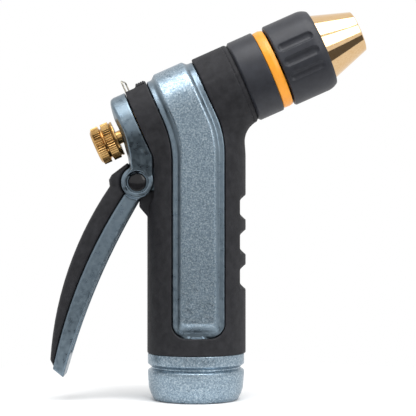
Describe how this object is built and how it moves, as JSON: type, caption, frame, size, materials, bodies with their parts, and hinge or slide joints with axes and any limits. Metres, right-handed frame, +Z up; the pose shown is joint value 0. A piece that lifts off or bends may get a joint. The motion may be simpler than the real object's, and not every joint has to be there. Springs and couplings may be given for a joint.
{
  "type": "hose spray nozzle",
  "caption": "Pistol-shaped garden hose nozzle with a rear trigger, an upturned head, a knurled flow knob, a hold-open wire clip and a twist knob with a tapered brass outlet.",
  "frame": {"origin": "centre of the hose inlet's mouth, at the bottom of the handle", "axes": "+Z up the handle's axis, +X the side the water sprays to, +Y across the handle; the spray axis tilts 24 degrees up from +X"},
  "size_m": [0.113, 0.0348, 0.1386],
  "materials": {
    "zinc": "bare die-cast metal, mottled, semi-matt",
    "grip_rubber": "fine-textured soft rubber",
    "black_plastic": "smooth satin moulded plastic",
    "orange_plastic": "smooth moulded plastic",
    "brass": "machined",
    "knurled_brass": "straight-knurled, machined",
    "polished_brass": "turned and polished",
    "steel": "drawn wire, plain",
    "seal_rubber": "smooth moulded rubber"
  },
  "bodies": {
    "body": {"body_casting": "zinc", "grip_sleeve": "grip_rubber", "inlet_washer": "seal_rubber", "packing_nut": "brass", "packing_o_ring": "seal_rubber", "valve_spring": "steel", "seat_ring": "brass", "barrel": "brass", "barrel_o_ring": "seal_rubber", "spray_plug": "brass", "neck_collar": "black_plastic", "accent_ring": "orange_plastic", "pivot_pin": "black_plastic", "pin_retainer": "black_plastic"},
    "valve": {"valve_stem": "brass", "spring_seat": "steel", "seal_cup": "brass", "valve_seal": "seal_rubber", "seal_screw": "steel"},
    "knob_washer": {"thrust_washer": "brass"},
    "flow_knob": {"flow_knob": "knurled_brass"},
    "trigger": {"trigger_lever": "zinc", "trigger_pad": "grip_rubber"},
    "clip": {"hold_open_clip": "steel"},
    "spray_carrier": {"knob_o_ring": "seal_rubber"},
    "spray_knob": {"twist_knob": "black_plastic", "nozzle_cone": "polished_brass"}
  },
  "joints": [
    {"name": "trigger_squeeze", "type": "hinge", "parent": "body", "child": "trigger", "pos_m": [-0.02065, 0, 0.07735], "axis": [0, -1, 0], "range_deg": [0, 16], "stiffness_Nm_per_rad": 2.5, "springref_deg": -22.92},
    {"name": "valve_travel", "type": "slide", "parent": "body", "child": "valve", "axis": [-0.9135, 0, -0.4067], "range_m": [0, 0.00492], "deforming": ["valve_spring"]},
    {"name": "flow_knob_travel", "type": "slide", "parent": "valve", "child": "knob_washer", "axis": [-0.9135, 0, -0.4067], "range_m": [0, 0.0025]},
    {"name": "flow_knob_turn", "type": "hinge", "parent": "knob_washer", "child": "flow_knob", "pos_m": [-0.03197, 0, 0.09146], "axis": [-0.9135, 0, -0.4067], "range_deg": [0, 720]},
    {"name": "spray_travel", "type": "slide", "parent": "body", "child": "spray_carrier", "axis": [0.9135, 0, 0.4067], "range_m": [0, 0.005]},
    {"name": "spray_twist", "type": "hinge", "parent": "spray_carrier", "child": "spray_knob", "pos_m": [0.03654, 0, 0.12197], "axis": [0.9135, 0, 0.4067], "range_deg": [0, 450]},
    {"name": "clip_swing", "type": "hinge", "parent": "body", "child": "clip", "pos_m": [-0.02363, 0, 0.10788], "axis": [0, 1, 0], "range_deg": [0, 30]}
  ],
  "couplings": [
    {"joint": "valve_travel", "follows": "trigger_squeeze", "m_per_rad": 0.0176},
    {"joint": "flow_knob_turn", "follows": "flow_knob_travel", "rad_per_m": 5026.5},
    {"joint": "spray_twist", "follows": "spray_travel", "rad_per_m": 1570.8}
  ]
}
